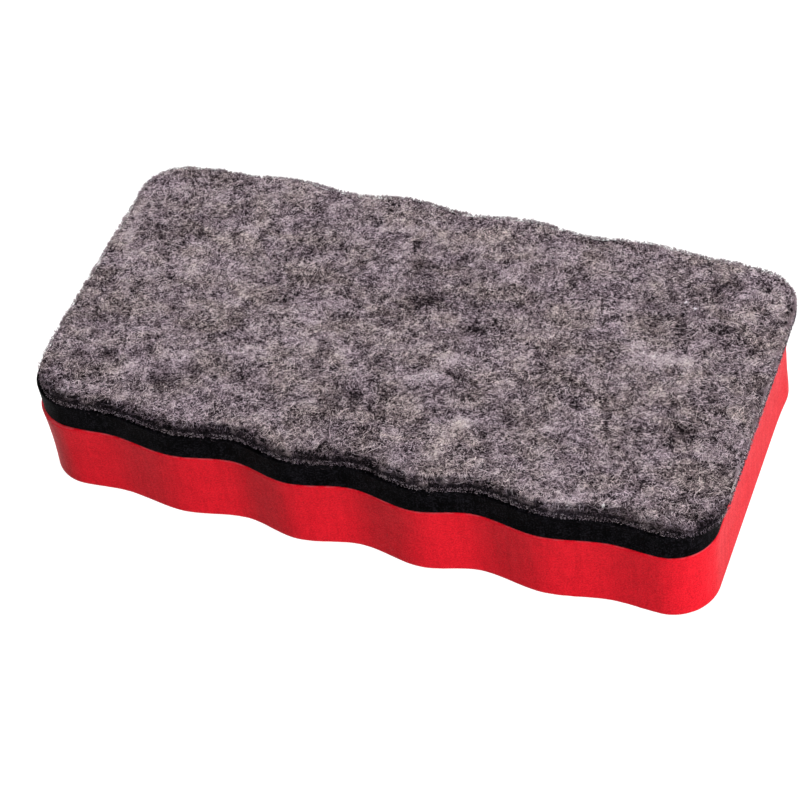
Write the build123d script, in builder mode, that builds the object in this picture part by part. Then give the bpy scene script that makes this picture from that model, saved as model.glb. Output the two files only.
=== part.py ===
"""Chalkboard eraser: a die-cut block of red foam, black foam and grey felt, glued in a stack.

The eraser lies on the back of its grip with the felt face up.
X runs along the length, Y across the width and Z up.  The origin is the middle of the
bounding box, on the underside of the grip.  All sizes are in millimetres.
"""
import os

from build123d import *

# ---------------------------------------------------------------- driving dimensions
cut_length = 110.0          # length of the die that cuts every layer
corner_radius = 7.2         # rounding of the four corners

# The long sides are a row of finger grips: crests and valleys, mirrored about the middle.
# Each pair is the distance from the middle along X and the half width there.
middle_valley = (0.0, 25.9)
inner_crest = (10.1, 27.5)
inner_valley = (19.6, 25.7)
outer_crest = (29.8, 27.1)
outer_valley = (41.0, 25.7)
corner_half_width = 26.1    # where the wave runs into the rounded corner

grip_thickness = 13.5       # red foam
glue_thickness = 0.15       # hot-melt film, one under and one over the black foam
backing_thickness = 5.2     # black foam
felt_thickness = 3.0        # grey felt

felt_overhang = 1.4         # how far the felt was laid towards +X of the foam below it
glue_inset = 0.6            # the films stop short of the cut edge
foam_rim_radius = 0.3       # the knife leaves a slightly rounded rim on the foam
felt_rim_radius = 0.9       # the rim of the felt's wiping face is softer

# ---------------------------------------------------------------- derived places
foam_middle = -felt_overhang / 2
felt_middle = felt_overhang / 2

grip_bottom = 0.0
grip_glue_bottom = grip_bottom + grip_thickness
backing_bottom = grip_glue_bottom + glue_thickness
felt_glue_bottom = backing_bottom + backing_thickness
felt_bottom = felt_glue_bottom + glue_thickness


def die_outline(height, middle_x, inset=0.0):
    """The closed outline of one layer, on the plane at height, with its middle at middle_x."""
    half_length = cut_length / 2 - inset
    radius = corner_radius - inset
    corner_start = (half_length - radius, corner_half_width)
    right_half = [
        middle_valley,
        inner_crest,
        inner_valley,
        outer_crest,
        outer_valley,
        corner_start,
    ]
    left_half = [(-x, y) for x, y in right_half[:0:-1]]
    wave = [(middle_x + x, y - inset) for x, y in left_half + right_half]
    along_x = (1, 0)
    with BuildSketch(Plane.XY.offset(height)) as outline:
        with BuildLine():
            back_side = Spline(*wave, tangents=[along_x] * len(wave))
            right_corner = JernArc(back_side @ 1, along_x, radius, -90)
            left_corner = JernArc(back_side @ 0, (-1, 0), radius, 90)
            mirror(about=Plane.XZ)
            end_half_width = (right_corner @ 1).Y
            Line(right_corner @ 1, (middle_x + half_length, -end_half_width))
            Line(left_corner @ 1, (middle_x - half_length, -end_half_width))
        make_face()
    return outline.sketch


# ---------------------------------------------------------------- red foam grip
with BuildPart() as grip_body:
    add(die_outline(grip_bottom, foam_middle))
    extrude(amount=grip_thickness)
    fillet(grip_body.faces().filter_by(Axis.Z).edges(), foam_rim_radius)

# ---------------------------------------------------------------- glue between the two foams
with BuildPart() as grip_glue_film:
    add(die_outline(grip_glue_bottom, foam_middle, glue_inset))
    extrude(amount=glue_thickness)

# ---------------------------------------------------------------- black foam backing
with BuildPart() as backing_foam:
    add(die_outline(backing_bottom, foam_middle))
    extrude(amount=backing_thickness)
    fillet(backing_foam.faces().filter_by(Axis.Z).edges(), foam_rim_radius)

# ---------------------------------------------------------------- glue under the felt
with BuildPart() as felt_glue_film:
    add(die_outline(felt_glue_bottom, 0.0, felt_overhang / 2 + glue_inset))
    extrude(amount=glue_thickness)

# ---------------------------------------------------------------- grey wiping felt
with BuildPart() as wiping_felt:
    add(die_outline(felt_bottom, felt_middle))
    extrude(amount=felt_thickness)
    fillet(wiping_felt.faces().sort_by(Axis.Z)[-1].edges(), felt_rim_radius)

# ---------------------------------------------------------------- one STEP per layer
grip_body.part.label = "grip_body"
grip_glue_film.part.label = "grip_glue_film"
backing_foam.part.label = "backing_foam"
felt_glue_film.part.label = "felt_glue_film"
wiping_felt.part.label = "wiping_felt"

os.makedirs("parts", exist_ok=True)
for layer in (grip_body, grip_glue_film, backing_foam, felt_glue_film, wiping_felt):
    export_step(layer.part, f"parts/{layer.part.label}.step")
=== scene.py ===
"""Chalkboard eraser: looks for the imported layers, felt face up on a pale floor.

Everything is in metres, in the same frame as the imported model: X along the length,
Y across the width, Z up, the grip lying on the floor at Z = 0.
"""

import math

import bpy
import numpy as np
from mathutils import Matrix, Vector


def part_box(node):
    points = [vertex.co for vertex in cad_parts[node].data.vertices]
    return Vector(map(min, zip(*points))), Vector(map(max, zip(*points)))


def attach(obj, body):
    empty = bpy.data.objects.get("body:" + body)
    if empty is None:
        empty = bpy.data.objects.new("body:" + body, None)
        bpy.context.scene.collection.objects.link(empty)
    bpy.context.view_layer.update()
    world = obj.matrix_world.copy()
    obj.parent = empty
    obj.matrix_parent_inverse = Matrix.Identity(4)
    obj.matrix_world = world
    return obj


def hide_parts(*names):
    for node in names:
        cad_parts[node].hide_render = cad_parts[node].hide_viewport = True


MM = 0.001

# ======== the die that cuts every layer
# Turning points of the wavy side: distance from the middle, depth below the widest crest.
WAVE = (
    (0.0 * MM, 1.6 * MM),
    (10.1 * MM, 0.0 * MM),
    (19.6 * MM, 1.8 * MM),
    (29.8 * MM, 0.4 * MM),
    (41.0 * MM, 1.8 * MM),
)
CORNER_RADIUS = 7.2 * MM
CORNER_DEPTH = 1.4 * MM     # the corners begin this deep below the widest crest
VALLEY_DEPTH = max(depth for _, depth in WAVE)
CREST_FRAY = 0.4            # a soft layer's crests spread by this share of its fray
FRAY_FADE = 4 * MM          # the spread dies away over this length before the corners


# ======== noise in numpy
def corner_values(cells, seed):
    """A repeatable value from -1 to 1 for each whole-numbered lattice corner."""
    mixed = cells[..., 0] * 374761393 + cells[..., 1] * 668265263 + cells[..., 2] * 2147483647
    mixed = (mixed + seed * 1274126177) & 0xFFFFFFFF
    mixed = ((mixed ^ (mixed >> 13)) * 1274126177) & 0xFFFFFFFF
    mixed = (mixed ^ (mixed >> 16)) & 0xFFFF
    return mixed / 32767.5 - 1.0


def noise(points, cell, seed):
    """Smooth lattice noise from -1 to 1 at points, with lattice cells of the given size."""
    scaled = points / cell
    base = np.floor(scaled).astype(np.int64)
    part = scaled - base
    part = part * part * (3 - 2 * part)
    total = np.zeros(len(points))
    for corner in np.ndindex(2, 2, 2):
        weight = np.prod(np.where(np.array(corner) == 1, part, 1 - part), axis=1)
        total += weight * corner_values(base + corner, seed)
    return total


def fractal(points, cell, seed, octaves):
    """Noise with finer and fainter layers added."""
    total = np.zeros(len(points))
    for octave in range(octaves):
        total += noise(points, cell / 2**octave, seed + octave) / 2**octave
    return total


def layered(points, layers):
    """Noises of several sizes added: each layer is (amount, cell, seed, octaves)."""
    return sum(amount * fractal(points, *layer) for amount, *layer in layers)


def flat_points(x, y):
    """Points at height zero, for reading a noise in the plane."""
    return np.stack([x, y, np.zeros_like(x)], axis=1)


def climb(value, start, over):
    """0 up to a start, then a straight rise to 1."""
    return np.clip((value - start) / over, 0, 1)


def mound(places, centre, reach):
    """1 at a centre in the plane, fading out round it."""
    return np.exp(-((np.linalg.norm(places - centre, axis=1) / reach) ** 2))


# ======== the die's outline
class Die:
    """The outline of one layer about its own middle, with a grid for the face inside it.

    fray says how far a soft layer spreads out along its back side, most of all in the valleys.
    """

    def __init__(self, low, high, columns, corner_columns, rows, fray=0.0):
        self.fray = fray
        self.middle = (low.x + high.x) / 2
        self.bottom = low.z
        self.half_length = (high.x - low.x) / 2
        self.crest = (high.y - low.y) / 2
        self.corner_start = self.half_length - CORNER_RADIUS
        self.corner_width = self.crest - CORNER_DEPTH
        self.end_half_width = self.corner_width - CORNER_RADIUS
        straight = np.linspace(-self.corner_start, self.corner_start, columns)
        turn = np.sin(np.linspace(0, math.pi / 2, corner_columns + 1))[1:]
        bend = self.corner_start + CORNER_RADIUS * turn
        self.grid_x = np.concatenate([-bend[::-1], straight, bend])
        self.grid_w = self.half_width(self.grid_x)
        self.grid_back = self.grid_w + self.spread_back(self.grid_x)
        self.columns = len(self.grid_x)
        self.rows = rows
        self.loop = self.make_loop()
        self.normal = self.make_normals()
        step = np.linalg.norm(np.roll(self.loop, -1, axis=0) - self.loop, axis=1)
        self.along = np.concatenate([[0], np.cumsum(step)])
        self.length = self.along[-1]

    def half_width(self, x):
        """Half the width of the outline at x from the middle."""
        distance = np.abs(x)
        turning_x = np.array([point[0] for point in WAVE] + [self.corner_start])
        turning_w = np.array([self.crest - point[1] for point in WAVE] + [self.corner_width])
        inside = np.clip(distance, 0, self.corner_start)
        index = np.clip(np.searchsorted(turning_x, inside, side="right") - 1, 0, len(WAVE) - 1)
        share = (inside - turning_x[index]) / (turning_x[index + 1] - turning_x[index])
        share = share * share * (3 - 2 * share)
        width = turning_w[index] + share * (turning_w[index + 1] - turning_w[index])
        past = np.clip(distance - self.corner_start, 0, CORNER_RADIUS)
        return width - CORNER_RADIUS + np.sqrt(CORNER_RADIUS**2 - past**2)

    def spread_back(self, x):
        """How far the back side stands beyond the die's own line at x from the middle."""
        valley = climb(self.crest - self.half_width(x), 0, VALLEY_DEPTH)
        fade = climb(self.corner_start - np.abs(x), 0, FRAY_FADE)
        return self.fray * (CREST_FRAY + valley) * fade

    def make_loop(self):
        """Points round the outline, anticlockwise from the front left."""
        end_y = np.linspace(-self.end_half_width, self.end_half_width, self.rows)
        front = np.stack([self.grid_x, -self.grid_w], axis=1)
        right = np.stack([np.full(self.rows, self.half_length), end_y], axis=1)
        back = np.stack([self.grid_x, self.grid_back], axis=1)[::-1]
        left = np.stack([np.full(self.rows, -self.half_length), end_y], axis=1)[::-1]
        return np.concatenate([front[:-1], right[:-1], back[:-1], left[:-1]])

    def make_normals(self):
        """The outward direction at each point of the outline."""
        along = np.roll(self.loop, -1, axis=0) - np.roll(self.loop, 1, axis=0)
        normal = np.stack([along[:, 1], -along[:, 0]], axis=1)
        return normal / np.linalg.norm(normal, axis=1)[:, None]

    def depth(self, x, y):
        """Roughly how far a point is inside the outline, below zero outside it."""
        from_end = self.half_length - np.abs(x)
        inside = np.clip(x, -self.half_length, self.half_length)
        from_side = self.half_width(inside) + self.spread_back(inside) * (y > 0) - np.abs(y)
        corner_x = np.abs(x) - self.corner_start
        corner_y = np.abs(y) - self.end_half_width
        in_corner = (corner_x > 0) & (corner_y > 0)
        to_arc = CORNER_RADIUS - np.hypot(corner_x, corner_y)
        return np.where(in_corner, to_arc, np.minimum(from_end, from_side))

    def at(self, along):
        """Position and outward normal at a distance along the outline."""
        wrapped = np.mod(along, self.length)
        known = np.hstack([self.loop, self.normal])
        known = np.concatenate([known, known[:1]])
        found = np.stack([np.interp(wrapped, self.along, column) for column in known.T], axis=1)
        return found[:, :2], found[:, 2:]

    def fill(self, ring):
        """A grid over the face inside a ring of the loop's points, (columns, rows, 2)."""
        wide = self.columns
        tall = self.rows
        front = ring[:wide]
        right = ring[wide - 1 : wide + tall - 1]
        back = ring[wide + tall - 2 : 2 * wide + tall - 2][::-1]
        left = np.concatenate([ring[2 * wide + tall - 3 :], ring[:1]])[::-1]
        u = ((self.grid_x + self.half_length) / (2 * self.half_length))[:, None, None]
        v = np.linspace(0, 1, tall)[None, :, None]
        between = (1 - v) * front[:, None] + v * back[:, None]
        across = (1 - u) * left[None] + u * right[None]
        corners = (1 - u) * ((1 - v) * front[0] + v * back[0])
        corners = corners + u * ((1 - v) * front[-1] + v * back[-1])
        return between + across - corners

    def ring_in_grid(self):
        """Where each point of the loop lies in a flattened (columns, rows) grid."""
        index = np.arange(self.columns * self.rows).reshape(self.columns, self.rows)
        front_right = (index[:-1, 0], index[-1, :-1])
        back_left = (index[::-1, -1][:-1], index[0, ::-1][:-1])
        return np.concatenate(front_right + back_left)


# ======== meshes
BAKE_MAP = "OFBake"


def add_object(name, verts, groups, material, marks=None):
    """A mesh from groups of faces: each group is (faces, maps), both one row per face.

    marks are values for each point that the material reads, such as how near a rim it is.
    """
    mesh = bpy.data.meshes.new(name)
    sides = np.concatenate([np.full(len(faces), faces.shape[1]) for faces, _ in groups])
    starts = np.concatenate([[0], np.cumsum(sides)[:-1]])
    corners = np.concatenate([faces.ravel() for faces, _ in groups])
    maps = np.concatenate([uv.reshape(-1, 2) for _, uv in groups])
    mesh.vertices.add(len(verts))
    mesh.vertices.foreach_set("co", verts.astype(np.float32).ravel())
    mesh.loops.add(len(corners))
    mesh.loops.foreach_set("vertex_index", corners.astype(np.int32))
    mesh.polygons.add(len(sides))
    mesh.polygons.foreach_set("loop_start", starts.astype(np.int32))
    mesh.polygons.foreach_set("use_smooth", np.full(len(sides), True))
    mesh.update(calc_edges=True)
    layer = mesh.uv_layers.new(name=BAKE_MAP)
    layer.data.foreach_set("uv", np.clip(maps, 0, 1).astype(np.float32).ravel())
    for title, values in (marks or {}).items():
        attribute = mesh.attributes.new(title, "FLOAT", "POINT")
        attribute.data.foreach_set("value", values.astype(np.float32))
    mesh.materials.append(material)
    mesh.validate()
    piece = bpy.data.objects.new(name, mesh)
    bpy.context.collection.objects.link(piece)
    return piece


WALL_ROWS = 3           # the wall is unrolled into this many strips
MAP_MARGIN = 0.004      # clear space round the parts of the map
LEAST_ROOM = 0.04       # height in the map that the underside gets at least


def flat_map(die, verts, scale, spare=0.0):
    """Places in the map of points seen from above."""
    u = MAP_MARGIN + (verts[:, 0] - die.middle + die.half_length + spare) * scale
    v = MAP_MARGIN + (verts[:, 1] + die.crest + spare) * scale
    return np.stack([u, v], axis=1)


def face_grid(die, rim_points, first, top_height):
    """A grid over the top face: its points, which of them are the rim's, and its quads."""
    grid = die.fill(rim_points[:, :2]).reshape(-1, 2)
    height = top_height(grid[:, 0], grid[:, 1])
    rim = die.ring_in_grid()
    height[rim] = rim_points[:, 2]
    cell = np.arange(die.columns * die.rows).reshape(die.columns, die.rows) + first
    quads = np.stack([cell[:-1, :-1], cell[1:, :-1], cell[1:, 1:], cell[:-1, 1:]], axis=-1)
    return np.column_stack([grid, height]), rim + first, quads.reshape(-1, 4)


def wall_faces(die, stack, index, scale):
    """The quads between the rings, unrolled in the map into strips above the top face.

    Gives the quads with their maps, and how high the strips reach in the map.
    """
    rises = [float(np.linalg.norm(b - a, axis=1).mean()) for a, b in zip(stack[:-1], stack[1:])]
    drops = np.concatenate([[0], np.cumsum(rises)])
    here = np.arange(len(die.loop))
    there = (here + 1) % len(here)
    strip = math.ceil(len(here) / WALL_ROWS)
    row = here // strip
    row_begin = die.along[row * strip]
    longest = float((die.along[1:] - row_begin).max())
    wall_scale = min(scale, (1 - 2 * MAP_MARGIN) / longest)
    u_here = MAP_MARGIN + (die.along[:-1] - row_begin) * wall_scale
    u_there = MAP_MARGIN + (die.along[1:] - row_begin) * wall_scale
    wall_start = 2 * MAP_MARGIN + 2 * die.crest * scale
    v_row = wall_start + row * (drops[-1] * wall_scale + MAP_MARGIN)
    quads = []
    maps = []
    for low in range(len(stack) - 1):
        below = index[low]
        above = index[low + 1]
        v_low = v_row + drops[low] * wall_scale
        v_high = v_row + drops[low + 1] * wall_scale
        corners = [(u_here, v_low), (u_there, v_low), (u_there, v_high), (u_here, v_high)]
        quads.append(np.stack([below[here], below[there], above[there], above[here]], axis=1))
        maps.append(np.stack([np.stack(pair, axis=1) for pair in corners], axis=1))
    reach = float(v_row.max()) + drops[-1] * wall_scale + MAP_MARGIN
    return (np.concatenate(quads), np.concatenate(maps)), reach


def layer_piece(name, die, rings, material, top_height=None, marker=None):
    """A closed layer: rings from the underside's rim to the top face's rim, and both faces.

    rings is a list of (inset, height) arrays with a value for each point of the loop.
    A flat face is one polygon.  top_height makes the top face a grid instead: it gives the
    height at points of that face.  marker gives the marks that the material reads.
    """
    count = len(die.loop)
    stack = []
    for inset, height in rings:
        flat = die.loop - die.normal * inset[:, None]
        stack.append(np.concatenate([flat, height[:, None]], axis=1))
    verts = list(stack)
    index = [np.arange(count) + number * count for number in range(len(stack))]
    top_faces = index[-1][None]
    if top_height:
        verts[-1], index[-1], top_faces = face_grid(die, stack[-1], index[-1][0], top_height)
    verts = np.concatenate(verts)
    verts[:, 0] += die.middle

    # the top face fills the map's width, the wall lies above it, the underside takes the rest
    scale = (1 - 2 * MAP_MARGIN) / (2 * die.half_length)
    wall, reach = wall_faces(die, stack, index, scale)
    low_scale = min(scale, max(LEAST_ROOM, 1 - MAP_MARGIN - reach) / (2 * die.crest))
    low_map = flat_map(die, verts, low_scale) * (1, -1) + (0, 1)
    underside = index[0][::-1][None]
    top_map = flat_map(die, verts, scale)
    groups = [wall, (underside, low_map[underside]), (top_faces, top_map[top_faces])]
    marks = marker(die, verts[:, 0] - die.middle, verts[:, 1], verts[:, 2]) if marker else None
    return add_object(name, verts, groups, material, marks)


def ring(die, inset, height):
    """One ring of a layer, from numbers or arrays."""
    ones = np.ones(len(die.loop))
    return inset * ones, height * ones


def loop_points(die, height):
    """The outline's points in space at a height, for reading noise."""
    flat = die.loop + np.array([die.middle, 0.0])
    return np.column_stack([flat, np.full(len(flat), height)])


# ======== foam layers
FOAM_SKIN = 0.05 * MM       # the cut wall lies this far inside the die's line on average
FOAM_RIM = 0.16 * MM        # radius of the rounded rims
FOAM_FLAT = FOAM_RIM + 2 * FOAM_SKIN + 1.2 * MM     # the flat faces begin this far inside
TEAR_SIZE = 1.0 * MM

# What makes the cut wall uneven: how far it goes in and out, and the size of its cells.
HOLLOW_CELL = 23 * MM
SWAY, SWAY_CELL = 0.07 * MM, 7 * MM
DRAG, DRAG_CELL = 0.025 * MM, 0.9 * MM
GRAIN, GRAIN_CELL = 0.016 * MM, 0.55 * MM
DRAWN_OUT = (1, 1, 0.12)    # squeezes heights, so that the knife's drag marks run up the wall

# The corner that bulges outwards, as shares of the half sizes, and how far round it does.
FLARED_CORNER = (0.975, 0.90)
FLARE_REACH = 5.5 * MM


def foam_piece(name, node, material, wall_rings, dish, seed, ragged, short=0.0, flare=0.0):
    """A die-cut foam layer: rounded rims, a slightly dished wall and an uneven cut.

    ragged is how far its rims are torn, short how much is missing at the left end, and flare
    how far it bulges out at the bottom of its back right corner.
    """
    low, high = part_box(node)
    die = Die(low, high, columns=290, corner_columns=28, rows=110)
    turns = np.linspace(0, math.pi / 2, 5)
    skin = FOAM_SKIN + short * climb(-die.loop[:, 0] / die.half_length, 0.80, 0.12)
    torn = ragged * (0.5 + 0.5 * fractal(loop_points(die, low.z), TEAR_SIZE, seed + 4, 2))
    bulge = flare * mound(die.loop, np.multiply(FLARED_CORNER, (die.half_length, die.crest)), FLARE_REACH)
    rings = [ring(die, FOAM_FLAT, low.z)]
    for turn in turns[:-1]:
        inset = FOAM_RIM * (1 - math.sin(turn)) + skin + torn - bulge
        rings.append(ring(die, inset, low.z + FOAM_RIM * (1 - math.cos(turn))))
    for share in np.linspace(0, 1, wall_rings):
        height = low.z + FOAM_RIM + share * (high.z - low.z - 2 * FOAM_RIM)
        here = loop_points(die, height)
        hollow = dish * math.sin(math.pi * share) * (0.8 + 0.5 * noise(here, HOLLOW_CELL, seed))
        uneven = SWAY * noise(here, SWAY_CELL, seed + 1)
        uneven = uneven + DRAG * noise(here * DRAWN_OUT, DRAG_CELL, seed + 2)
        uneven = uneven + GRAIN * noise(here, GRAIN_CELL, seed + 3)
        held = min(1.0, 6 * share, 6 * (1 - share))
        inset = np.clip(skin + hollow + held * uneven, 0.0, None)
        rings.append(ring(die, inset - bulge * (1 - share) ** 0.8, height))
    for turn in turns[1:]:
        inset = FOAM_RIM * (1 - math.cos(turn)) + skin + torn
        rings.append(ring(die, inset, high.z - FOAM_RIM * (1 - math.sin(turn))))
    rings.append(ring(die, FOAM_FLAT, high.z))
    return layer_piece(name, die, rings, material)


# ======== felt pad
FELT_RIM = 0.80 * MM
FELT_ROOM = 0.30 * MM       # loose fibres fill the last stretch up to the felt's full thickness
FELT_SKIN = 0.12 * MM       # the cut edge lies this far inside the outline on average
FELT_FRAY = 0.62 * MM
LIP_SHARE = 0.42            # the lower lip of the split edge takes this much of the thickness

# Layers of noise: amount, cell, seed and octaves.
FACE_TUFTS = ((0.12 * MM, 11 * MM, 31, 2), (0.11 * MM, 2.1 * MM, 37, 2), (0.07 * MM, 0.7 * MM, 41, 1))
EDGE_TUFTS = ((0.17 * MM, 1.3 * MM, 61, 2), (0.12 * MM, 4 * MM, 67, 1))
RIM_SHADE_RAGS = ((0.36 * MM, 0.9 * MM, 71, 1), (0.30 * MM, 5 * MM, 73, 1))


def felt_relief(x, y):
    """Height of the felt's tufts over its mean face."""
    return layered(flat_points(x, y), FACE_TUFTS)


CARDING = math.radians(14)      # the fleece was carded at this angle to the felt's length

# Clumps that stand out on the wiping face, as shares of half its length and width.
DARK_CLUMPS = (
    (-0.62, -0.68), (-0.82, -0.60), (-0.10, -0.54), (0.81, -0.34),
    (0.00, 0.24), (0.17, 0.10), (-0.05, 0.50), (0.79, 0.77),
)
LIGHT_CLUMPS = (
    (0.72, 0.16), (0.64, 0.17), (0.87, 0.55), (-0.14, 0.43),
    (-0.31, -0.82), (0.26, -0.56), (-0.61, -0.50), (0.06, -0.32),
)
CLUMP_LENGTH = 2.6 * MM
CLUMP_WIDTH = 1.3 * MM


def clumps(die, x, y):
    """Below zero in the dark clumps and above zero in the light ones."""
    total = np.zeros(len(x))
    for sign, places in ((-1.0, DARK_CLUMPS), (1.0, LIGHT_CLUMPS)):
        for share_x, share_y in places:
            dx = x - share_x * die.half_length
            dy = y - share_y * die.crest
            along = dx * math.cos(CARDING) + dy * math.sin(CARDING)
            across = dy * math.cos(CARDING) - dx * math.sin(CARDING)
            total += sign * np.exp(-((along / CLUMP_LENGTH) ** 2) - (across / CLUMP_WIDTH) ** 2)
    return total


RIM_SHADE_WIDTH = 0.50 * MM       # width of the painted shade on the cut rim at the ends and the back; twice that in front
RIM_SHADE_FADE = 0.60 * MM
LIT_END = 0.78              # the lit ends lose this share of the rim's painted shade
FOOT_SHADE_HEIGHT = 1.75 * MM     # below this the ends keep their painted shade, a dark foot at the bottom of the felt
FOOT_SHADE_FADE = 0.30 * MM


def felt_marks(die, x, y, z, own_rim_shade=None):
    """What the felt's materials read at each point: how much painted shade the cut edge gets, from how
    near it lies, and the clumps.

    The last argument gives a fixed amount of that painted shade to some points; it is below zero at the
    others.
    """
    front = climb(-y / die.crest, 0.5, 0.25)
    far = RIM_SHADE_WIDTH + RIM_SHADE_WIDTH * front + layered(flat_points(x, y), RIM_SHADE_RAGS)
    rim = climb(far - die.depth(x, y), 0, RIM_SHADE_FADE)
    if own_rim_shade is not None:
        rim = np.where(own_rim_shade < 0, rim, own_rim_shade)
    end = climb(np.abs(x) / die.half_length, 0.940, 0.025)
    corner = np.where(x < 0, -0.94, -0.82)
    end = end * climb(y / die.crest, corner, 0.12)
    foot = end * climb(die.bottom + FOOT_SHADE_HEIGHT - z, 0, FOOT_SHADE_FADE)
    # rim is painted shade on the cut edge, less on the lit ends, with painted shade at the foot of the
    # ends
    return {"rim": np.maximum(rim * (1 - LIT_END * end), foot), "clump": clumps(die, x, y)}


# Where the front edge gapes: share of half the length, how far along, and how much.
GAPES = ((0.84, 9 * MM, 0.9), (0.15, 5 * MM, 0.5))


def felt_split(die):
    """How far the cut edge has split open round the outline, from 0 to about 1.5."""
    split = np.clip(0.45 + 0.35 * fractal(loop_points(die, 0.0), 9 * MM, 51, 2), 0.15, 0.8)
    for share, reach, more in GAPES:
        split = split + more * mound(die.loop, (share * die.half_length, -die.crest), reach)
    return split


# The edge's rings as shares of its height, and the split, which wanders up and down a little.
EDGE_SHARES = (*np.linspace(0.0, 0.85, 17), *np.linspace(0.88, 1.0, 6))
SPLIT_SHARE = 0.66
SPLIT_WANDER = 0.05
SPLIT_HALF = 0.15
LIP_TUCK = 0.35 * MM        # the lip's foot is tucked in this far, below this share of the height
LIP_TUCK_SHARE = 0.14


def felt_profile(die, low, high):
    """The rings of the felt's cut edge: soft lower lip, split, and a narrow upper rim."""
    thick = high - FELT_ROOM - low
    split = felt_split(die)
    wobble = noise(loop_points(die, 0.0), 6 * MM, 57)
    rings = [ring(die, 2.0 * MM, low)]
    for share in EDGE_SHARES:
        height = low + share * thick
        here = loop_points(die, height)
        from_split = (share - SPLIT_SHARE - SPLIT_WANDER * wobble) / SPLIT_HALF
        crease = np.exp(-(from_split**2)) * (0.20 + 0.50 * split) * MM
        lip = LIP_TUCK * max(0.0, 1 - share / LIP_TUCK_SHARE) ** 2
        rise = max(0.0, (share * thick - (thick - FELT_RIM)) / FELT_RIM)
        rounding = FELT_RIM * (1 - math.sqrt(max(0.0, 1 - rise * rise)))
        inset = FELT_SKIN + layered(here, EDGE_TUFTS) + crease + lip + rounding
        top = felt_relief(here[:, 0], here[:, 1]) * share**3
        rings.append(ring(die, np.clip(inset, 0.0, None), height + top))
    return rings


def felt_piece(material):
    low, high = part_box("wiping_felt")
    die = Die(low, high, columns=310, corner_columns=24, rows=176, fray=FELT_FRAY)
    face = high.z - FELT_ROOM

    def top_height(x, y):
        return face + felt_relief(x + die.middle, y)

    rings = felt_profile(die, low.z, high.z)
    return die, layer_piece("felt_pad", die, rings, material, top_height, felt_marks)


# ======== fibres
SPOKES = 3              # sides of a strand
SPARE = 2 * MM          # room in the map for strands that lie outside the outline
LIT_STRAND = 0.80       # the lightest strands at the rim lose this much of its painted shade


def tubes(name, paths, radius, die, material, own_rim_shade):
    """Closed tubes, tapered to a point at both ends, along paths (n, points, 3).

    The last argument gives each set of paths a fixed amount of the rim's painted shade, or none.
    """
    blocks = []
    counts = []
    quads = []
    tips = []
    flecks = []
    rng = np.random.default_rng(len(paths))
    start = 0
    for path, wide in zip(paths, radius):
        number, points, _ = path.shape
        along = np.gradient(path, axis=1)
        along /= np.linalg.norm(along, axis=2, keepdims=True) + 1e-12
        side = np.cross(along, np.array([0.05, 0.11, 1.0]))
        side /= np.linalg.norm(side, axis=2, keepdims=True) + 1e-12
        other = np.cross(side, along)
        taper = np.clip(np.sin(math.pi * np.linspace(0, 1, points)) * 1.8, 0, 1)
        girth = (wide[:, None] * taper)[..., None]
        spokes = []
        for turn in range(SPOKES):
            angle = turn * 2 * math.pi / SPOKES + math.pi / 2
            spokes.append(path + girth * (math.cos(angle) * side + math.sin(angle) * other))
        body = np.stack(spokes, axis=2)[:, 1:-1].reshape(number, -1, 3)
        verts = np.concatenate([path[:, :1], body, path[:, -1:]], axis=1)
        each = verts.shape[1]
        first = (start + np.arange(number) * each)[:, None, None]
        last = each - 1 - SPOKES
        for turn in range(SPOKES):
            after = (turn + 1) % SPOKES
            tips.append(first[:, 0] + np.array([[0, 1 + after, 1 + turn]]))
            tips.append(first[:, 0] + np.array([[each - 1, last + turn, last + after]]))
            for step in range(points - 3):
                low = 1 + SPOKES * step
                high = low + SPOKES
                face = np.array([[low + turn, low + after, high + after, high + turn]])
                quads.append(first[:, 0] + face)
        blocks.append(verts.reshape(-1, 3))
        counts.append(number * each)
        flecks.append(np.repeat(rng.uniform(0, 1, number), each))
        start += number * each
    verts = np.concatenate(blocks)
    quads = np.concatenate(quads)
    tips = np.concatenate(tips)
    flat = flat_map(die, verts, (1 - 2 * MAP_MARGIN) / (2 * die.half_length + 2 * SPARE), SPARE)
    given = np.repeat([-1.0 if value is None else value for value in own_rim_shade], counts)
    marks = felt_marks(die, verts[:, 0] - die.middle, verts[:, 1], verts[:, 2], given)
    # strands picked at random are spared some of the painted rim shade
    marks["rim"] = marks["rim"] * (1 - LIT_STRAND * np.concatenate(flecks) ** 3)
    return add_object(name, verts, [(quads, flat[quads]), (tips, flat[tips])], material, marks)


def sizes(rng, between, number):
    """Random sizes between two values in millimetres."""
    return rng.uniform(*between, number) * MM


def walk(rng, heading, length, points, curl):
    """Flat offsets of curly strands from their own middles, (n, points, 2)."""
    number = len(heading)
    step = (length / (points - 1))[:, None]
    bend = rng.normal(0, curl, (number, 1)) + rng.normal(0, curl * 0.9, (number, points - 1))
    angle = heading[:, None] + np.cumsum(bend, axis=1)
    hops = np.stack([np.cos(angle), np.sin(angle)], axis=2) * step[..., None]
    trail = np.concatenate([np.zeros((number, 1, 2)), np.cumsum(hops, axis=1)], axis=1)
    return trail - trail.mean(axis=1, keepdims=True)


TRIES = 4               # places drawn for each strand, so that enough are left after choosing
LEAST_DEPTH = 0.15 * MM
CLUMP_LIKING = 0.6


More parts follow.
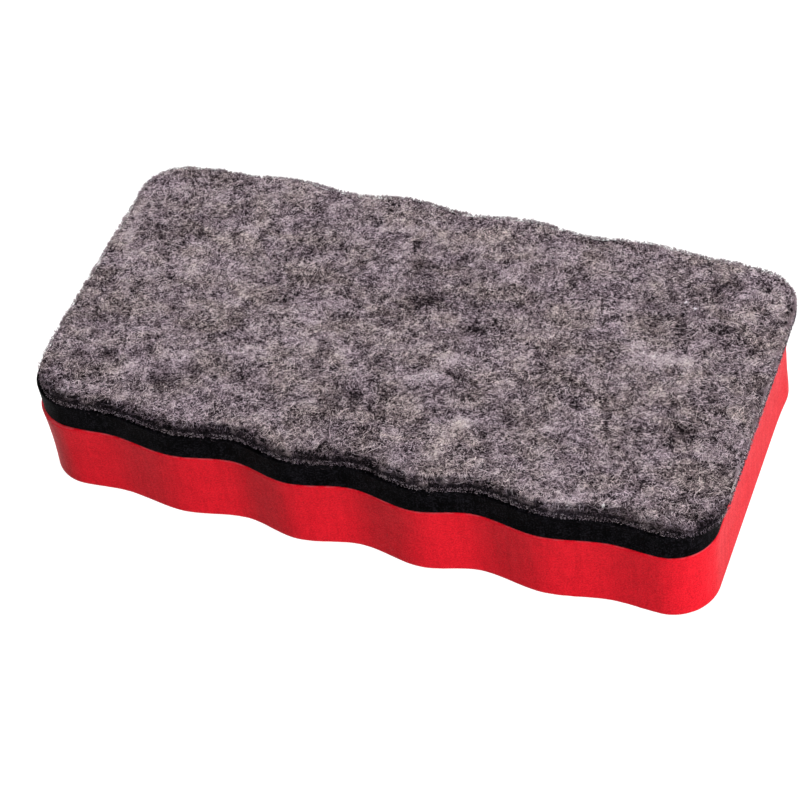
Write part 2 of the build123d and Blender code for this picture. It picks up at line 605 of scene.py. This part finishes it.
def scatter(rng, die, number, seed, taste, side):
    """Places on the felt's face, thicker where a slow noise is high and in the clumps of a side."""
    x = rng.uniform(-die.half_length, die.half_length, number * TRIES)
    y = rng.uniform(-die.crest, die.crest, number * TRIES)
    at = flat_points(x, y)
    liking = 0.5 + taste * (noise(at, 4 * MM, seed) + 0.8 * noise(at, 1.6 * MM, seed + 1))
    liking = liking + CLUMP_LIKING * side * clumps(die, x, y)
    chosen = (die.depth(x, y) > LEAST_DEPTH) & (rng.uniform(0, 1, number * TRIES) < liking)
    return x[chosen][:number], y[chosen][:number]


OVERHANG = 0.12 * MM    # strands may pass the outline this far before they are pulled in
PULL_IN = 0.85
STEEPEST = 0.97         # they follow the rim's round down to this share of its radius
RIM_LIFT = 1.5          # how much further they stand off at the rim
NUDGE = 0.05 * MM       # step for finding which way is inwards


def lay_on_face(rng, die, face, x, y, trail, lift, dive):
    """Paths on the felt's face: they weave in and out of it and turn down at the rim."""
    number, points, _ = trail.shape
    px = (x[:, None] + trail[..., 0]).ravel()
    py = (y[:, None] + trail[..., 1]).ravel()
    depth = die.depth(px, py)
    slope_x = die.depth(px + NUDGE, py) - depth
    slope_y = die.depth(px, py + NUDGE) - depth
    steep = np.hypot(slope_x, slope_y) + 1e-9
    over = np.clip(-OVERHANG - depth, 0, None)
    px = px + slope_x / steep * over * PULL_IN
    py = py + slope_y / steep * over * PULL_IN
    turned = np.clip((FELT_RIM + FELT_SKIN - depth) / FELT_RIM, 0, STEEPEST)
    drop = FELT_RIM * (1 - np.sqrt(1 - turned * turned))
    share = np.linspace(0, 1, points)[None]
    near_rim = np.exp(-np.clip(die.depth(x, y), 0, None) / FELT_RIM)
    lift = lift * (1 + RIM_LIFT * near_rim)
    arch = np.sin(math.pi * share) * lift[:, None]
    sink = -dive * (1 - np.sin(math.pi * share))
    weave = dive * 0.6 * rng.normal(0, 1, (number, points))
    pz = (face + felt_relief(px + die.middle, py) - drop).reshape(number, points)
    px = px.reshape(number, points) + die.middle
    return np.stack([px, py.reshape(number, points), pz + arch + sink + weave], axis=2)


def off_edge(die, along, out, up):
    """Paths from distances along the outline, out from it and up, each (n, points)."""
    place, facing = die.at(along.ravel())
    flat = (place + facing * out.ravel()[:, None]).reshape(*along.shape, 2)
    return np.concatenate([flat + np.array([die.middle, 0.0]), up[..., None]], axis=2)


EDGE_CURL = 0.45
EDGE_WAVER = 0.04 * MM


def edge_fibres(rng, die, low, high, number, length, points, levels, stand, root, begin=0.0):
    """Paths of strands that lie on the felt's cut edge between two shares of its thickness.

    begin is how far round the outline from the front left they start.
    """
    start = rng.uniform(begin, die.length, number)
    tall = high - FELT_ROOM - low
    level = low + tall * rng.uniform(*levels, number)
    heading = rng.uniform(0, 2 * math.pi, number)
    trail = walk(rng, heading, length, points, EDGE_CURL)
    lowest = low + min(0.05 * MM, levels[0] * tall)
    up = np.clip(level[:, None] + trail[..., 1], lowest, high - FELT_ROOM)
    share = np.linspace(0, 1, points)[None]
    out = np.sin(math.pi * share) * stand[:, None] + root
    out = out + EDGE_WAVER * rng.normal(0, 1, (number, points))
    return off_edge(die, start[:, None] + trail[..., 0], out, up)


FUZZ_ROOT = 0.35 * MM       # the loose ends begin this deep inside the outline
FUZZ_LEVELS = (0.05, 0.80)  # and between these shares of the thickness
FUZZ_SPILL = 0.1 * MM       # they hang this far below the felt, and end as far below its top


def fuzz(rng, die, low, high, number, points, length):
    """Paths of short loose ends that stand out from the felt's edge at all angles."""
    start = rng.uniform(0, die.length, number)
    level = low + (high - low) * rng.uniform(*FUZZ_LEVELS, number)
    heading = rng.uniform(0.15 * math.pi, 0.85 * math.pi, number)
    trail = walk(rng, heading, length, points, EDGE_CURL)
    trail = trail - trail[:, :1]
    bow = np.cumsum(rng.normal(0.0, 0.07, (number, points)), axis=1) * MM
    up = np.clip(level[:, None] + bow, low - FUZZ_SPILL, high - FUZZ_SPILL)
    return off_edge(die, start[:, None] + trail[..., 0], trail[..., 1] - FUZZ_ROOT, up)


TUFT_ROOT = 0.42 * MM       # the tufts begin this deep inside the outline
TUFT_DROP = 0.22 * MM       # and this far below the face
FRONT_TUFTS = 0.15          # the share of them that is left along the front


def rim_tufts(rng, die, high, number, points, length):
    """Paths of strands that stick out of the top rim in tufts, few of them along the front."""
    start = rng.uniform(0, die.length, number * TRIES)
    place, facing = die.at(start)
    tufted = 0.55 + 0.60 * noise(flat_points(place[:, 0], place[:, 1]), 1.1 * MM, 401)
    tufted = tufted * np.where(place[:, 1] < -0.6 * die.crest, FRONT_TUFTS, 1.0)
    chosen = rng.uniform(0, 1, number * TRIES) < tufted
    place = place[chosen][:number]
    facing = facing[chosen][:number]
    number = len(place)
    length = length[:number]
    rise = rng.uniform(-0.15, 1.05, number)
    swing = rng.uniform(-1.1, 1.1, number)
    beside = np.stack([-facing[:, 1], facing[:, 0]], axis=1)
    way = facing * np.cos(swing)[:, None] + beside * np.sin(swing)[:, None]
    way = np.column_stack([way * np.cos(rise)[:, None], np.sin(rise)])
    root_z = np.full(number, high - FELT_ROOM - TUFT_DROP)
    root = np.column_stack([place - facing * TUFT_ROOT, root_z])
    root[:, :2] += beside * rng.normal(0, 0.10 * MM, number)[:, None]
    root[:, 0] += die.middle
    reach = (TUFT_ROOT + length)[:, None] * np.linspace(0, 1, points)[None]
    bend = np.cumsum(rng.normal(0, 0.05, (number, points, 3)), axis=1) * MM
    return root[:, None] + way[:, None] * reach[..., None] + bend


# ======== materials
def new_material(name, roughness):
    material = bpy.data.materials.new(name)
    material.use_nodes = True
    tree = material.node_tree
    shader = tree.nodes["Principled BSDF"]
    shader.inputs["Roughness"].default_value = roughness
    return material, tree, shader


def feed(node, sockets):
    """Links each socket named here to another one, or sets it to a value."""
    for name, value in sockets.items():
        if isinstance(value, bpy.types.NodeSocket):
            node.id_data.links.new(value, node.inputs[name])
        else:
            node.inputs[name].default_value = value


def add_node(tree, kind, sockets, **settings):
    node = tree.nodes.new("ShaderNode" + kind)
    for name, value in settings.items():
        setattr(node, name, value)
    feed(node, sockets)
    return node


def texture_place(tree, scale=(1, 1, 1)):
    place = add_node(tree, "TexCoord", {}).outputs["Object"]
    return add_node(tree, "Mapping", {"Vector": place, "Scale": scale}).outputs["Vector"]


def noise_texture(tree, place, scale, detail=2.0, roughness=0.5, distortion=0.0):
    shape = {"Scale": scale, "Detail": detail, "Roughness": roughness, "Distortion": distortion}
    return add_node(tree, "TexNoise", {"Vector": place, **shape}).outputs["Fac"]


def math_node(tree, operation, first, second):
    return add_node(tree, "Math", {0: first, 1: second}, operation=operation).outputs["Value"]


def add_up(tree, parts):
    """Values added up, each with its weight."""
    total = None
    for value, weight in parts:
        part = math_node(tree, "MULTIPLY", value, weight)
        total = part if total is None else math_node(tree, "ADD", total, part)
    return total


def spread(tree, value, low, high, to_low, to_high):
    """Maps a value from one range to another, clamped."""
    ends = {"From Min": low, "From Max": high, "To Min": to_low, "To Max": to_high}
    return add_node(tree, "MapRange", {"Value": value, **ends}).outputs["Result"]


def ramp(tree, value, stops):
    node = add_node(tree, "ValToRGB", {"Fac": value})
    elements = node.color_ramp.elements
    while len(elements) < len(stops):
        elements.new(0.5)
    for element, (position, colour) in zip(elements, stops):
        element.position = position
        element.color = (*colour, 1.0)
    return node.outputs["Color"]


def mix_node(tree, factor, first, second, blend="MIX"):
    sockets = {"Factor": factor, "A": first, "B": second}
    return add_node(tree, "Mix", sockets, data_type="RGBA", blend_type=blend).outputs["Result"]


def bump(tree, shader, height, distance, strength):
    node = add_node(tree, "Bump", {"Height": height, "Distance": distance, "Strength": strength})
    feed(shader, {"Normal": node.outputs["Normal"]})


# The felt's clouds: scale, roughness and distortion of each noise, and its weight.
CLOUDS = ((110, 0.5, 0.4, 0.22), (360, 0.55, 0.6, 0.45), (1000, 0.55, 0.8, 0.33))


def felt_tone(tree, place, clouds, grain):
    """The felt's mottle from 0 to 1, the same clouds for the pad and its fibres."""
    parts = []
    for scale, rough, distortion, weight in CLOUDS:
        parts.append((noise_texture(tree, place, scale, 2.0, rough, distortion), weight * clouds))
    if grain:
        parts.append((noise_texture(tree, place, 3300, 2.0, 0.6, 1.4), grain))
    return math_node(tree, "ADD", add_up(tree, parts), 0.5 - 0.5 * clouds - 0.5 * grain)


def mark(tree, name):
    """What felt_marks gave the points."""
    return add_node(tree, "Attribute", {}, attribute_name=name).outputs["Fac"]


# tint of the painted shade on the felt's cut edge
EDGE_SHADE_HUE = (0.98, 0.93, 1.10)
HUES = ((0.36, (0.99, 0.950, 1.030)), (0.50, (1.0, 0.975, 1.005)), (0.64, (1.02, 0.995, 0.960)))


def felt_material(name, tones, clouds, grain, edge_shade_gain):
    """Needled fleece: tones from dark to light, and a cut edge darkened mostly by painted shade, partly
    by the cut ends' own darker tone.
    """
    material, tree, shader = new_material(name, 0.95)
    place = texture_place(tree)
    tone = felt_tone(tree, place, clouds, grain)
    tone = math_node(tree, "ADD", tone, math_node(tree, "MULTIPLY", mark(tree, "clump"), 0.12))
    step = 0.5 / (len(tones) - 1)
    stops = [(0.25 + step * number, colour) for number, colour in enumerate(tones)]
    hue = noise_texture(tree, texture_place(tree, (1, 1.5, 1)), 150, 3.0, 0.6, 0.5)
    colour = mix_node(tree, 1.0, ramp(tree, tone, stops), ramp(tree, hue, HUES), "MULTIPLY")
    # edge is the colour of the painted shade at the cut edge, mixed in by the rim mark
    edge = tuple(edge_shade_gain * part for part in EDGE_SHADE_HUE)
    shade = ramp(tree, mark(tree, "rim"), ((0.0, (1.0, 1.0, 1.0)), (1.0, edge)))
    colour = mix_node(tree, 1.0, colour, shade, "MULTIPLY")
    feed(shader, {"Base Color": colour, "Specular IOR Level": 0.05})
    if grain:
        bump(tree, shader, noise_texture(tree, place, 3600, 3.0, 0.6, 1.5), 0.4 * MM, 1.0)
    return material


def foam_material(name, tones, contrast, pit_shade, gloss, rim=None):
    """Cut closed-cell foam: fine grain, tiny pits with painted shade, and faint knife streaks.

    rim gives the heights between which a painted highlight rises along the wall's top rim, and the
    highlight's colour.
    """
    material, tree, shader = new_material(name, 0.5)
    place = texture_place(tree)
    grain = noise_texture(tree, place, 3800, 2.0, 0.6)
    blotch = noise_texture(tree, place, 420)
    streaks = noise_texture(tree, texture_place(tree, (1, 1, 0.08)), 1500)
    mixed = add_up(tree, ((grain, 0.66), (blotch, 0.18), (streaks, 0.16)))
    cells = add_node(tree, "TexVoronoi", {"Vector": place, "Scale": 1900}).outputs["Distance"]
    rare = spread(tree, noise_texture(tree, place, 900, 1.0), 0.52, 0.62, 0.0, 1.0)
    pit = math_node(tree, "MULTIPLY", spread(tree, cells, 0.0, 0.22, 1.0, 0.0), rare)
    stops = [(0.5 + side * contrast, tone) for side, tone in zip((-1, 0, 1), tones)]
    # the pits take a darker colour: painted shade in the cells
    pit_shade_amount = math_node(tree, "MULTIPLY", pit, 0.55)
    colour = mix_node(tree, pit_shade_amount, ramp(tree, mixed, stops), (*pit_shade, 1.0))
    if rim:
        bottom, top, rim_highlight = rim
        height = add_node(tree, "SeparateXYZ", {"Vector": place}).outputs["Z"]
        # a patchy painted highlight along the rounded top rim, stronger towards the top
        patchy = spread(tree, noise_texture(tree, place, 520, 3.0), 0.42, 0.62, 0.0, 1.0)
        highlight_amount = math_node(tree, "MULTIPLY", spread(tree, height, bottom, top, 0.0, 0.6), patchy)
        colour = mix_node(tree, highlight_amount, colour, (*rim_highlight, 1.0))
    rough = spread(tree, mixed, 0.35, 0.65, 0.58, 0.42)
    feed(shader, {"Base Color": colour, "Roughness": rough, "Specular IOR Level": gloss})
    relief = math_node(tree, "SUBTRACT", mixed, math_node(tree, "MULTIPLY", pit, 0.4))
    bump(tree, shader, relief, 0.10 * MM, 0.7)
    return material


def glue_material():
    material, tree, shader = new_material("glue_film", 0.35)
    streaks = noise_texture(tree, texture_place(tree), 600)
    stops = ((0.4, (0.10, 0.09, 0.07)), (0.6, (0.20, 0.18, 0.14)))
    feed(shader, {"Base Color": ramp(tree, streaks, stops)})
    return material


def paper_material(name, grey):
    """Pale matte paper that glows."""
    material, tree, shader = new_material(name, 0.9)
    feed(shader, {"Base Color": (grey, grey, grey, 1.0), "Emission Color": (1.0, 1.0, 1.0, 1.0)})
    feed(shader, {"Emission Strength": BACKDROP_GLOW})
    return material, tree, shader


def floor_material():
    """Paper that glows a little less round the object than in the distance."""
    material, tree, shader = paper_material("studio_floor", 0.52)
    far = add_node(tree, "VectorMath", {"Vector": texture_place(tree)}, operation="LENGTH")
    glow = spread(tree, far.outputs["Value"], 0.35, 1.6, 0.80, 0.92)
    feed(shader, {"Emission Strength": glow, "Specular IOR Level": 0.1})
    return material


# ======== stage, lights and camera
STAGE_REACH = 3.0
STAGE_HEIGHT = 3.0
STAGE_SIDES = 64
BACKDROP_GLOW = 0.90
FLOOR_LEVEL = -0.05 * MM        # just below the object, so that no faces coincide


def add_stage_piece(name, verts, faces, material):
    """A stage surface that shows and reflects, and leaves the light on the object to the lamps."""
    mesh = bpy.data.meshes.new(name)
    mesh.from_pydata(verts, [], faces)
    mesh.materials.append(material)
    piece = bpy.data.objects.new(name, mesh)
    piece.visible_diffuse = False
    bpy.context.collection.objects.link(piece)
    return piece


def add_stage():
    turns = [2 * math.pi * side / STAGE_SIDES for side in range(STAGE_SIDES)]
    around = [(STAGE_REACH * math.cos(turn), STAGE_REACH * math.sin(turn)) for turn in turns]
    ring_low = [(x, y, FLOOR_LEVEL) for x, y in around]
    ring_high = [(x, y, STAGE_HEIGHT) for x, y in around]
    add_stage_piece("studio_floor", ring_low, [tuple(range(STAGE_SIDES))], floor_material())
    walls = []
    for side in range(STAGE_SIDES):
        after = (side + 1) % STAGE_SIDES
        walls.append((after, side, STAGE_SIDES + side, STAGE_SIDES + after))
    paper = paper_material("studio_backdrop", 0.80)[0]
    backdrop = add_stage_piece("studio_backdrop", ring_low + ring_high, walls, paper)
    backdrop.visible_glossy = False
    backdrop.visible_shadow = False


# The lamps: place, height of the point they aim at, width and watts.
LAMPS = {
    "key": ((0.79, -0.46, 0.27), 0.01, 0.45, 11.15),    # low, from the front right
    "top": ((-0.10, 0.42, 0.87), 0.0, 0.60, 6.6),       # broad, from above and behind
    "fill": ((-0.73, 0.20, 0.28), 0.01, 0.45, 2.3),     # soft, from the left
}


def add_lamp(name):
    place, aim_height, width, watts = LAMPS[name]
    data = bpy.data.lights.new(name, "AREA")
    data.shape = "SQUARE"
    data.size = width
    data.energy = watts
    light = bpy.data.objects.new(name, data)
    light.location = place
    aim = Vector((0, 0, aim_height)) - Vector(place)
    light.rotation_euler = aim.to_track_quat("-Z", "Y").to_euler()
    bpy.context.collection.objects.link(light)


def add_world(strength):
    world = bpy.data.worlds.new("studio")
    world.use_nodes = True
    background = world.node_tree.nodes["Background"]
    background.inputs["Color"].default_value = (1.0, 1.0, 1.0, 1.0)
    background.inputs["Strength"].default_value = strength
    bpy.context.scene.world = world


CAMERA_TURN = math.radians(27.2)        # to the right of the front
CAMERA_RISE = math.radians(48.1)        # above the floor
CAMERA_ROLL = math.radians(-9.3)
CAMERA_DISTANCE = 393.7 * MM
CAMERA_LENS = 109.4
CAMERA_AIM = Vector((-5.3 * MM, 3.7 * MM, 0.0))


def add_camera():
    flat = math.cos(CAMERA_RISE)
    view = Vector((-math.sin(CAMERA_TURN) * flat, math.cos(CAMERA_TURN) * flat, -math.sin(CAMERA_RISE)))
    right = view.cross(Vector((0, 0, 1))).normalized()
    up = right.cross(view)
    rolled_right = math.cos(CAMERA_ROLL) * right + math.sin(CAMERA_ROLL) * up
    rolled_up = math.cos(CAMERA_ROLL) * up - math.sin(CAMERA_ROLL) * right
    data = bpy.data.cameras.new("camera")
    data.lens = CAMERA_LENS
    data.sensor_width = 36.0
    data.clip_start = 0.01
    data.clip_end = 20.0
    camera = bpy.data.objects.new("camera", data)
    axes = Matrix((rolled_right, rolled_up, -view)).transposed().to_4x4()
    axes.translation = CAMERA_AIM - view * CAMERA_DISTANCE
    camera.matrix_world = axes
    bpy.context.collection.objects.link(camera)
    bpy.context.scene.camera = camera


# ======== build
def place_piece(piece, node=None):
    """A piece of the eraser; a layer of the CAD that it replaces is hidden."""
    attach(piece, "root")
    if node:
        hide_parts(node)


# Tones of the fleece from its shadows to its lights, in linear colour.
PAD_TONES = ((0.005, 0.003, 0.004), (0.068, 0.052, 0.058), (0.29, 0.227, 0.245), (0.64, 0.55, 0.56))
LIGHT_TONES = ((0.40, 0.320, 0.340), (0.79, 0.68, 0.70), (1.0, 0.96, 0.93))
LINT_TONES = ((0.90, 0.88, 0.87), (0.96, 0.95, 0.94), (1.0, 1.0, 1.0))
MIDDLE_TONES = ((0.118, 0.089, 0.100), (0.320, 0.250, 0.270), (0.60, 0.51, 0.52))
DARK_TONES = ((0.003, 0.002, 0.003), (0.017, 0.012, 0.016), (0.080, 0.059, 0.068))

# Each kind of strand: tones, number on the face, how it gathers and in the clumps of which
# side, seed, radii in millimetres and number on the lip.
STRANDS = {
    "light": (LIGHT_TONES, 11500, 0.34, 1, 3, (0.030, 0.060), 2200),
    "fine": (LIGHT_TONES, 11500, 0.20, 1, 11, (0.020, 0.040), 2200),
    "middle": (MIDDLE_TONES, 11500, 0.10, 0, 5, (0.035, 0.070), 1300),
    "dark": (DARK_TONES, 11500, 0.44, -1, 7, (0.032, 0.068), 2400),
}

# How short and long strands lie on the face: lengths and lifts in millimetres, straying from
# the carding, points and curl of a path, and how deep its ends dive.
SHORT = ((0.35, 1.25), (0.0, 0.12), 0.95, 4, 0.55, 0.05 * MM)
LONG = ((2.2, 5.5), (0.0, 0.10), 0.6, 11, 0.38, 0.04 * MM)
LONG_NUMBER = 380
LONG_RADII = (0.020, 0.042)

EDGE_POINTS = 4
DARK_LIP = (0.10, 0.90)     # shares of the edge's height between which dark strands lie
OTHER_LIP = (0.03, LIP_SHARE)
SIDES = {"light": (LIGHT_TONES, 5200), "dark": (DARK_TONES, 4200)}

# Specks of white lint and curled dark hairs, placed as shares of half the length and width.
LINT = ((0.704, 0.594), (0.695, -0.914), (0.735, 0.560))
HAIRS = ((0.917, 0.790), (-0.245, 0.755))

# What is caught on the face: tones, places, fixed amount of painted rim shade, seed and strands in each
# ball; points, lengths and radii of a strand; width and clearance of the ball.
CAUGHT = {
    "felt_lint": (LINT_TONES, LINT, 0.0, 970, 26, 5, (0.18, 0.55), (0.018, 0.034), 0.22 * MM, 0.08 * MM),
    "felt_dark_hairs": (
        DARK_TONES, HAIRS, None, 980, 8, 11, (0.9, 2.4), (0.034, 0.052), 0.60 * MM, 0.30 * MM
    ),
}


def strands_on_face(rng, die, face, x, y, lengths, lifts, straying, points, curl, dive):
    """Paths of strands laid on the face at given places, roughly the way it was carded."""
    length = sizes(rng, lengths, len(x))
    heading = CARDING + rng.normal(0, straying, len(x)) + math.pi * rng.integers(0, 2, len(x))
    trail = walk(rng, heading, length, points, curl)
    return lay_on_face(rng, die, face, x, y, trail, sizes(rng, lifts, len(x)), dive)


def add_strands(name, paths, girths, die, tones, edge_shade_gain, own_rim_shade, clouds=1.0):
    """A piece of strands with a material of its own."""
    material = felt_material(name, tones, clouds, 0.0, edge_shade_gain)
    place_piece(tubes(name, paths, girths, die, material, own_rim_shade))


def make_strands(die, low, high, kind):
    """All the strands of one kind: short ones, long ones and those of the cut edge."""
    tones, count, taste, side, seed, radii, lip = STRANDS[kind]
    rng = np.random.default_rng(900 + seed)
    paths = []
    girths = []
    styles = ((count, 300 + seed, radii, SHORT), (LONG_NUMBER, 320 + seed, LONG_RADII, LONG))
    for number, own_seed, between, style in styles:
        x, y = scatter(rng, die, number, own_seed, taste, side)
        paths.append(strands_on_face(rng, die, high - FELT_ROOM, x, y, *style))
        girths.append(sizes(rng, between, len(x)))
    length = sizes(rng, (0.12, 0.48), lip)
    stand = sizes(rng, (0.04, 0.24), lip)
    levels = DARK_LIP if kind == "dark" else OTHER_LIP
    paths.append(edge_fibres(rng, die, low, high, lip, length, EDGE_POINTS, levels, stand, -0.11 * MM))
    girths.append(sizes(rng, (0.016, 0.038), lip))
    # painted shade takes the cut edge down to 0.26 of its colour; the lip's strands get 0.86 of that
    # shade
    add_strands("felt_fibres_" + kind, paths, girths, die, tones, 0.26, [None, None, 0.86])


def make_loose_ends(die, low, high):
    """Loose ends of the cut edge, tufts of the top rim and a few threads below the lip."""
    rng = np.random.default_rng(950)
    ends, tufts, threads = 4200, 4600, 170
    paths = [fuzz(rng, die, low, high, ends, EDGE_POINTS, sizes(rng, (0.30, 0.62), ends))]
    girths = [sizes(rng, (0.016, 0.032), ends)]
    paths.append(rim_tufts(rng, die, high, tufts, EDGE_POINTS, sizes(rng, (0.05, 0.52), tufts)))
    girths.append(sizes(rng, (0.022, 0.045), len(paths[-1])))
    length = sizes(rng, (0.25, 1.20), threads)
    stand = sizes(rng, (0.02, 0.06), threads)
    levels = (-0.30, 0.06)
    paths.append(edge_fibres(rng, die, low, high, threads, length, EDGE_POINTS, levels, stand, 0.0))
    girths.append(sizes(rng, (0.008, 0.015), threads))
    # painted shade takes the cut edge down to 0.30 of its colour; tufts get 0.30 and threads 0.95 of that
    # shade
    add_strands("felt_loose_ends", paths, girths, die, MIDDLE_TONES, 0.30, [None, 0.30, 0.95])


def make_side_strands(die, low, high, kind):
    """Strands on the cut edge's ends and back, where the front's dark split does not reach."""
    tones, number = SIDES[kind]
    rng = np.random.default_rng(960 + len(kind))
    length = sizes(rng, (0.20, 0.75), number)
    stand = sizes(rng, (0.05, 0.26), number)
    begin = die.along[die.columns]
    levels = (0.25, 1.0)
    path = edge_fibres(rng, die, low, high, number, length, EDGE_POINTS, levels, stand, -0.12 * MM, begin)
    girth = sizes(rng, (0.018, 0.042), number)
    # painted shade takes the cut edge down to 0.30 of its colour; these strands get 0.80 of that shade
    add_strands("felt_side_" + kind, [path], [girth], die, tones, 0.30, [0.80])


def make_caught(die, high, name):
    """The balls of lint or of hair on the face."""
    tones, places, own_rim_shade, seed, number, points, lengths, radii, across, clear = CAUGHT[name]
    rng = np.random.default_rng(seed)
    paths = []
    girths = []
    for share_x, share_y in places:
        length = sizes(rng, lengths, number)
        x = share_x * die.half_length + rng.normal(0, across / 2, number)
        y = share_y * die.crest + rng.normal(0, across / 2, number)
        trail = walk(rng, rng.uniform(0, 2 * math.pi, number), length, points, 0.8)
        lift = clear + sizes(rng, (0.0, 0.16), number)
        paths.append(lay_on_face(rng, die, high - FELT_ROOM, x, y, trail, lift, 0.02 * MM))
        girths.append(sizes(rng, radii, number))
    # painted shade takes the cut edge down to 0.8 of its colour
    add_strands(name, paths, girths, die, tones, 0.8, [own_rim_shade] * len(places), 0.3)


def make_felt():
    low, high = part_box("wiping_felt")
    # painted shade takes the pad's cut edge down to 0.06 of its colour
    die, pad = felt_piece(felt_material("felt_base", PAD_TONES, 1.5, 1.5, 0.06))
    place_piece(pad, "wiping_felt")
    for kind in STRANDS:
        make_strands(die, low.z, high.z, kind)
    make_loose_ends(die, low.z, high.z)
    for kind in SIDES:
        make_side_strands(die, low.z, high.z, kind)
    for name in CAUGHT:
        make_caught(die, high.z, name)


RED_TONES = ((0.54, 0.0058, 0.0148), (0.67, 0.0074, 0.0184), (0.77, 0.0100, 0.0232))
# painted shade in the red foam's pits
RED_PIT_SHADE = (0.25, 0.002, 0.004)
# colour of the painted highlight on the red foam's rounded top rim
RED_RIM_HIGHLIGHT = (0.62, 0.10, 0.12)
BLACK_TONES = ((0.0003, 0.0003, 0.0003), (0.0010, 0.0009, 0.0012), (0.0095, 0.0086, 0.0112))
# painted shade in the black foam's pits
BLACK_PIT_SHADE = (0.0006, 0.0006, 0.0006)


def make_foams():
    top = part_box("grip_body")[1].z
    # painted highlight along the red foam's rounded top rim
    painted_rim_highlight = (top - 0.16 * MM, top - 0.03 * MM, RED_RIM_HIGHLIGHT)
    red = foam_material("red_foam", RED_TONES, 0.12, RED_PIT_SHADE, 0.05, painted_rim_highlight)
    black = foam_material("black_foam", BLACK_TONES, 0.10, BLACK_PIT_SHADE, 0.005)
    grip = ("grip_foam", "grip_body", red, 30, 0.20 * MM, 101)
    grip = foam_piece(*grip, ragged=0.05 * MM, flare=0.80 * MM)
    place_piece(grip, "grip_body")
    sheet = ("backing_foam_sheet", "backing_foam", black, 14, 0.08 * MM, 131)
    sheet = foam_piece(*sheet, ragged=0.10 * MM, short=0.40 * MM)
    place_piece(sheet, "backing_foam")


def colour_glue():
    glue = glue_material()
    for node in ("grip_glue_film", "felt_glue_film"):
        film = bpy.data.objects[node]
        film.data.materials.clear()
        film.data.materials.append(glue)


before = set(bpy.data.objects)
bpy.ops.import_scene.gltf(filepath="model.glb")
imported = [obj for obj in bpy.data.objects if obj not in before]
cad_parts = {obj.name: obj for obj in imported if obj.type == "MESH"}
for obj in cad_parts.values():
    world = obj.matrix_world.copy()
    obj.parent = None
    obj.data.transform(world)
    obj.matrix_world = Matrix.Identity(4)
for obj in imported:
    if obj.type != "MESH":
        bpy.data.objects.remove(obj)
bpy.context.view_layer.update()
bpy.context.scene.view_settings.view_transform = "Standard"
add_world(0.22)
add_stage()
for lamp in LAMPS:
    add_lamp(lamp)
add_camera()
make_foams()
make_felt()
colour_glue()
